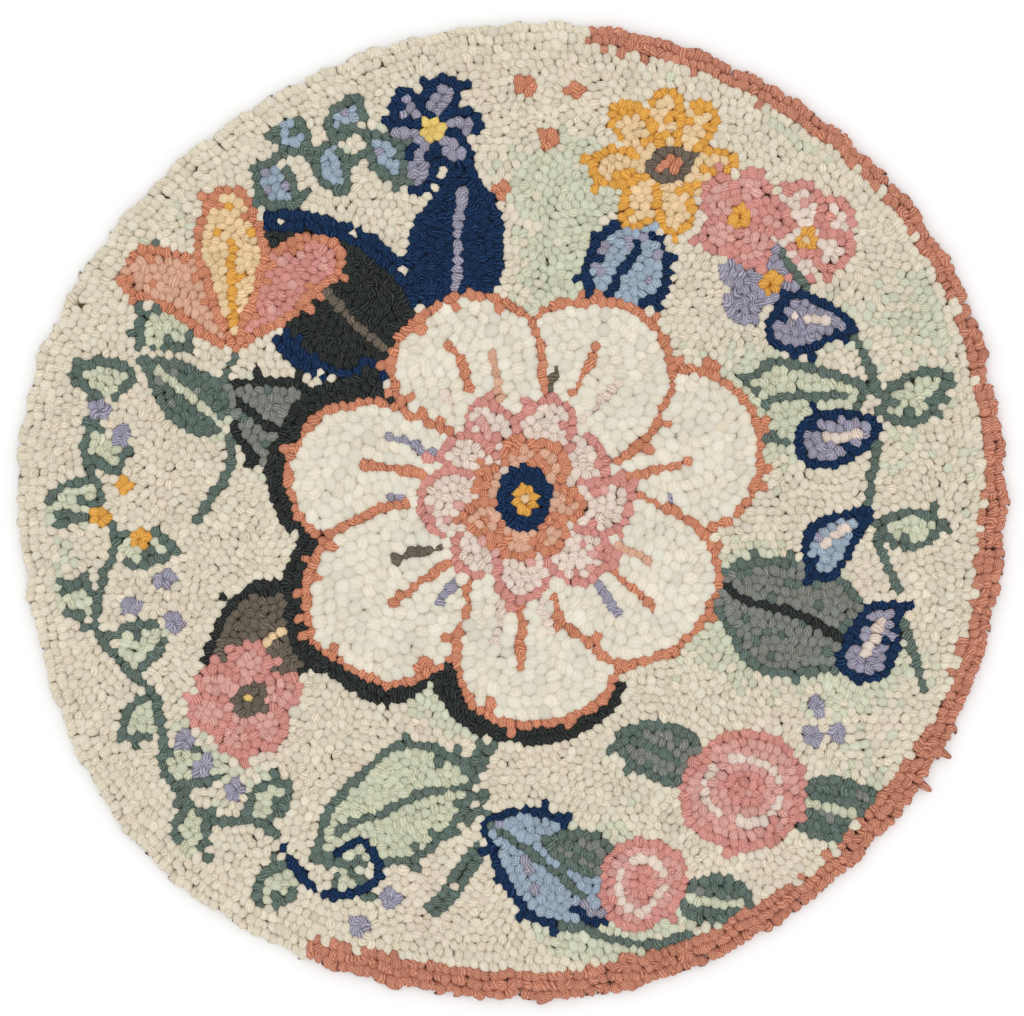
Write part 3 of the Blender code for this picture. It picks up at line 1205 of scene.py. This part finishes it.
def wool_group():
    """Wool yarn. Its strands lie side by side, each a rounded ridge, with painted shade in the lines between
    them and a painted highlight along their ridges. The colour is streaked along the strands and speckled
    with carded-in fibres, each loop has its own tone and tint, and the depths of the pile are darker with
    painted shade."""
    tree, given, out = new_group("wool_yarn", ("Colour", "Heather"), ("Heathering", "Strand", "Crease"))
    place = add_node(tree, "TexCoord").outputs["Object"]
    strands = add_node(tree, "UVMap", uv_map="strands").outputs["UV"]
    tone, tint, depth = (
        add_node(tree, "Attribute", attribute_name=name).outputs["Fac"] for name in ("tone", "tint", "depth")
    )
    # The strands' ridges, which wander a little sideways.
    wander = maths(tree, "MULTIPLY_ADD", noise(tree, place, 3.5 * MM, 1.0), 2.4, -1.2)
    across = maths(tree, "ADD", add_node(tree, "SeparateXYZ", {0: strands}).outputs["X"], wander)
    turns = maths(tree, "DIVIDE", across, given.outputs["Strand"])
    wave = maths(tree, "SINE", product(tree, turns, math.pi))
    ridge = product(tree, wave, wave)
    # Specks and streaks of carded-in fibres, and a painted highlight along the strands' ridges, both mixed
    # towards the heather colour.
    streaked = vector_maths(tree, "MULTIPLY", {0: strands, 1: (0.7, 0.22, 1.0)})
    fibres = maths(tree, "ADD", noise(tree, place, 0.9 * MM), noise(tree, streaked, 1.0))
    speckle = ramped(tree, fibres, 0.80, 1.25)
    lit = maths(tree, "MULTIPLY_ADD", speckle, 0.6, ramped(tree, ridge, 0.3, 1.0, 0.0, 0.9))
    wool = mixed(tree, product(tree, lit, given.outputs["Heathering"]), *given.outputs[0:2])
    # Each loop's tint is redder or bluer.
    redder, bluer = (maths(tree, "MULTIPLY_ADD", tint, shift, 1.0) for shift in (0.012, -0.012))
    tinted = add_node(tree, "CombineXYZ", {0: redder, 1: 1.0, 2: bluer}).outputs[0]
    wool = vector_maths(tree, "MULTIPLY", {0: wool, 1: tinted})
    # Painted shade in the lines between the strands, deeper in some loops and broken along their length.
    painted_crease_shade = product(
        tree,
        ramped(tree, ridge, 0.6, 0.0),
        given.outputs["Crease"],
        ramped(tree, noise(tree, place, 2.6 * MM, 1.0), 0.35, 0.65, 0.35, 1.3),
        ramped(tree, tint, -1.6, 1.6, 0.3, 1.6),
    )
    bright = product(
        tree,
        maths(tree, "MULTIPLY_ADD", tone, 0.042, 1.0),
        maths(tree, "MULTIPLY_ADD", noise(tree, place, 45 * MM, 1.0), 0.10, 0.95),
        # Painted shade: the deeper a point lies below its loop's top, the darker.
        ramped(tree, depth, 0.5, 3.6, 1.0, 0.87),
        maths(tree, "SUBTRACT", 1.0, painted_crease_shade),
    )
    shaded = vector_maths(tree, "SCALE", {0: wool, "Scale": bright})
    height = maths(tree, "MULTIPLY_ADD", noise(tree, place, 0.45 * MM), 0.5, ridge)
    set_inputs(tree, out, {"Colour": shaded, "Height": height})
    return tree


def linen_group():
    """Coarse plain weave: threads along X and along Y that pass over and under each other by turns,
    with thicker and thinner stretches."""
    tree, given, out = new_group("linen_weave", ("Thread", "Shadow"), ("Spacing",))
    place = add_node(tree, "TexCoord").outputs["Object"]
    x, y, _ = add_node(tree, "SeparateXYZ", {0: place}).outputs
    waves = []
    for axis in (x, y):
        turns = maths(tree, "DIVIDE", axis, given.outputs["Spacing"])
        waves.append(maths(tree, "SINE", product(tree, turns, math.pi)))
    over = product(tree, *waves)
    threads = []
    for wave, side in zip(waves, (0.5, -0.5)):
        above = maths(tree, "MULTIPLY_ADD", over, side, 0.5)
        threads.append(product(tree, maths(tree, "ABSOLUTE", wave), above))
    weave = maths(tree, "MAXIMUM", *threads)
    height = maths(tree, "MULTIPLY_ADD", noise(tree, place, 6 * MM), 0.35, weave)
    lit = ramped(tree, height, 0.15, 0.85)
    colour = mixed(tree, lit, given.outputs["Shadow"], given.outputs["Thread"])
    set_inputs(tree, out, {"Colour": colour, "Height": height})
    return tree


def new_material(name):
    """A material with its node tree and its shader."""
    material = bpy.data.materials.new(name)
    material.use_nodes = True
    return material, material.node_tree, material.node_tree.nodes["Principled BSDF"]


def cloth_shader(name, group, values, bump, roughness, sheen):
    """A material whose colour and bump come from a group. Bump is its strength and its depth in metres."""
    material, tree, shader = new_material(name)
    look = add_node(tree, "Group", values, node_tree=group)
    strength, depth = bump
    inputs = {"Height": look.outputs["Height"], "Strength": strength, "Distance": depth}
    relief = add_node(tree, "Bump", inputs)
    inputs = {
        "Base Color": look.outputs["Colour"],
        "Normal": relief.outputs["Normal"],
        "Roughness": roughness,
        "Sheen Weight": sheen,
        "Sheen Roughness": 0.5,
        "Specular IOR Level": 0.12,
    }
    set_inputs(tree, shader, inputs)
    return material


def wool_material(name, yarn, group):
    values = {
        "Colour": linear(yarn.colour),
        "Heather": linear(yarn.heather_and_highlight),
        "Heathering": yarn.heathering_and_highlight,
        "Strand": yarn.strand,
        "Crease": yarn.crease_shade,
    }
    return cloth_shader(f"{name}_wool", group, values, bump=(0.5, 0.45 * MM), roughness=0.95, sheen=0.04)


def linen_material():
    values = {"Thread": linear((196, 176, 138)), "Shadow": linear((112, 92, 62)), "Spacing": 1.3 * MM}
    look = linen_group()
    return cloth_shader("foundation_linen", look, values, bump=(0.8, 0.5 * MM), roughness=0.9, sheen=0.0)


# Floor, light and camera.

FLOOR_LEVEL = -0.5
FLOOR_REACH = 3000.0
FLOOR_UNDER_CLOTH = 4.0
PICTURE_WIDTH = 786.6 * MM
PICTURE_MIDDLE_Y = 2.7 * MM
PILE_LEVEL = 10.0 * MM
LENS = 85.0
SENSOR = 36.0
SKY_STRENGTH = 1.12
LAMP_POWER = 130.0
LAMP_PLACE = (-1.1, 1.2, 1.7)


def build_floor(edge):
    """A pale floor just under the rug: a flat ring, whose opening lies wholly under the cloth, so that
    the rug's back can be seen in the light. The ring's underside is clear."""
    turn = whole_turn(CLOTH_STEPS)
    radius = np.stack([edge(turn) - FLOOR_UNDER_CLOTH, np.full(CLOTH_STEPS, FLOOR_REACH)])
    points = raised(polar(radius, turn), FLOOR_LEVEL).reshape(-1, 3)
    mesh = new_mesh("floor", points, band_faces(2))
    material, tree, shader = new_material("pale_floor")
    pale = {"Base Color": (0.93, 0.93, 0.93, 1.0), "Roughness": 0.9, "Specular IOR Level": 0.1}
    set_inputs(tree, shader, pale)
    clear = add_node(tree, "BsdfTransparent").outputs["BSDF"]
    behind = add_node(tree, "NewGeometry").outputs["Backfacing"]
    mix = add_node(tree, "MixShader", {0: behind, 1: shader.outputs["BSDF"], 2: clear})
    set_inputs(tree, tree.nodes["Material Output"], {"Surface": mix.outputs["Shader"]})
    mesh.materials.append(material)
    new_object("floor", mesh)


def build_light():
    """Even white light from all round, and one large soft lamp above the upper left."""
    world = bpy.data.worlds.new("studio")
    world.use_nodes = True
    sky = {"Color": (1.0, 1.0, 1.0, 1.0), "Strength": SKY_STRENGTH}
    set_inputs(world.node_tree, world.node_tree.nodes["Background"], sky)
    bpy.context.scene.world = world
    lamp = bpy.data.lights.new("soft_lamp", "AREA")
    lamp.energy = LAMP_POWER
    lamp.shape = "SQUARE"
    lamp.size = 1.0
    holder = new_object("soft_lamp", lamp)
    holder.location = LAMP_PLACE
    holder.rotation_euler = (-holder.location).to_track_quat("Z", "Y").to_euler()


def build_camera():
    """Straight down on the rug, whose middle lies a little below the picture's."""
    camera = bpy.data.cameras.new("camera")
    camera.lens = LENS
    camera.sensor_width = SENSOR
    holder = new_object("camera", camera)
    holder.location = (0.0, PICTURE_MIDDLE_Y, PILE_LEVEL + PICTURE_WIDTH * LENS / SENSOR)
    bpy.context.scene.camera = holder
    bpy.context.scene.view_settings.view_transform = "Standard"


def main():
    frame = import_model()
    loops = build_loops(frame)
    edge = reach_by_angle(node_points(frame, "foundation_cloth"), smoothing=0)
    build_foundation(edge)
    build_floor(edge)
    build_light()
    build_camera()
    bpy.context.view_layer.update()


main()
